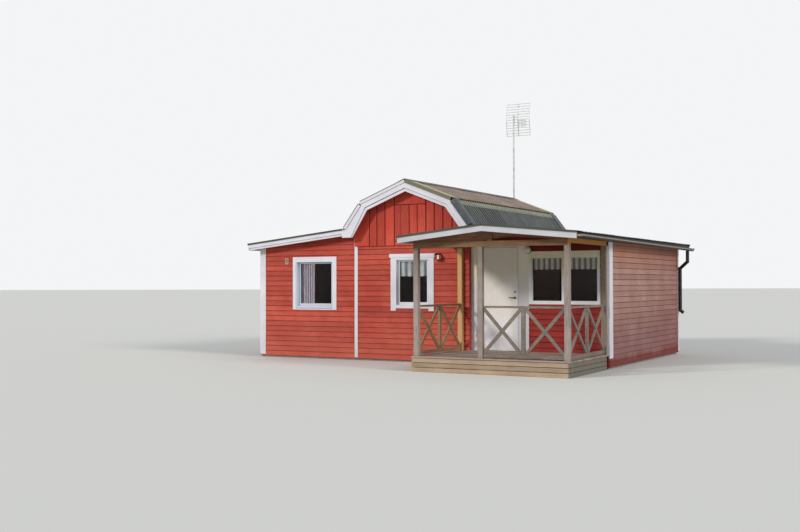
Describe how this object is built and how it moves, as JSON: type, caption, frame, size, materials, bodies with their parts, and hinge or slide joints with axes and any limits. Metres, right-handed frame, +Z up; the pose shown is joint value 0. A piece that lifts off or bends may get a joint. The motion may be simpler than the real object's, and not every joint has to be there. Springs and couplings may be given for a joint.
{
  "type": "summer cottage",
  "caption": "Small red timber cottage with a gambrel-roofed middle, low wings, and a raised corner porch with crossed-brace railings and an opening door.",
  "frame": {"origin": "centre of the footprint's bounding box, at ground level", "axes": "+X along the front from the left wing to the right wing, -Y out of the front with its porch, +Z up"},
  "size_m": [8.3683, 7.6038, 6.044],
  "materials": {
    "red_siding": "red-painted timber boarding, faded and matt",
    "white_trim": "white-painted boards, slightly chalky",
    "dark_board": "dark stained board behind the gutter",
    "door_paint": "off-white painted door",
    "weathered_timber": "bare timber weathered grey-brown",
    "floor_boards": "plain planed floor boards",
    "inner_timber": "sawn timber, unpainted",
    "roof_sheet": "dark grey corrugated bitumen sheet with pale weathering",
    "window_glass": "clear window glass",
    "curtain_cloth": "thin pale cloth",
    "door_metal": "dull steel",
    "gutter_metal": "black-painted sheet metal",
    "lamp_plastic": "red-brown lamp housing",
    "vent_plastic": "pale vent cover",
    "aerial_metal": "weathered aluminium"
  },
  "bodies": {
    "house": {"foundation": "weathered_timber", "floor": "floor_boards", "porch_platform": "weathered_timber", "left_wing_front_wall": "red_siding", "left_wing_side_wall": "red_siding", "gable_front_wall": "red_siding", "gable_front_panel": "red_siding", "loft_hatch": "red_siding", "door_infill_walls": "red_siding", "porch_window_wall": "red_siding", "right_side_wall": "red_siding", "back_wall": "red_siding", "rear_gable_panel": "red_siding", "carrying_beams": "inner_timber", "gambrel_upper_deck": "inner_timber", "gambrel_lower_deck": "inner_timber", "gambrel_upper_sheets": "roof_sheet", "gambrel_lower_sheets": "roof_sheet", "ridge_caps": "roof_sheet", "verge_flashings": "roof_sheet", "left_wing_deck": "inner_timber", "left_wing_sheets": "roof_sheet", "right_wing_deck": "inner_timber", "right_wing_sheets": "roof_sheet", "porch_left_deck": "inner_timber", "porch_left_sheets": "roof_sheet", "bargeboards": "white_trim", "left_wing_fascias": "white_trim", "porch_fascia": "white_trim", "right_wing_fascias": "dark_board", "corner_boards": "white_trim", "left_window_frame": "white_trim", "gable_window_frames": "white_trim", "porch_window_frame": "white_trim", "window_glass": "window_glass", "curtains": "curtain_cloth", "door_frame": "white_trim", "hinge_pintles": "door_metal", "porch_posts": "weathered_timber", "porch_beams": "weathered_timber", "left_railing": "weathered_timber", "front_railing": "weathered_timber", "right_railing": "weathered_timber", "gutter": "gutter_metal", "downpipe": "gutter_metal", "wall_lamps": "lamp_plastic", "vent_plate": "vent_plastic", "antenna_mast": "aerial_metal", "antenna_reflector": "aerial_metal"},
    "door": {"door_leaf": "door_paint", "door_handle": "door_metal", "door_hinges": "door_metal"}
  },
  "joints": [
    {"name": "front_door", "type": "hinge", "parent": "house", "child": "door", "pos_m": [1.1915, -1.5279, 1.287], "axis": [0, 0, -1], "range_deg": [0, 100]}
  ]
}
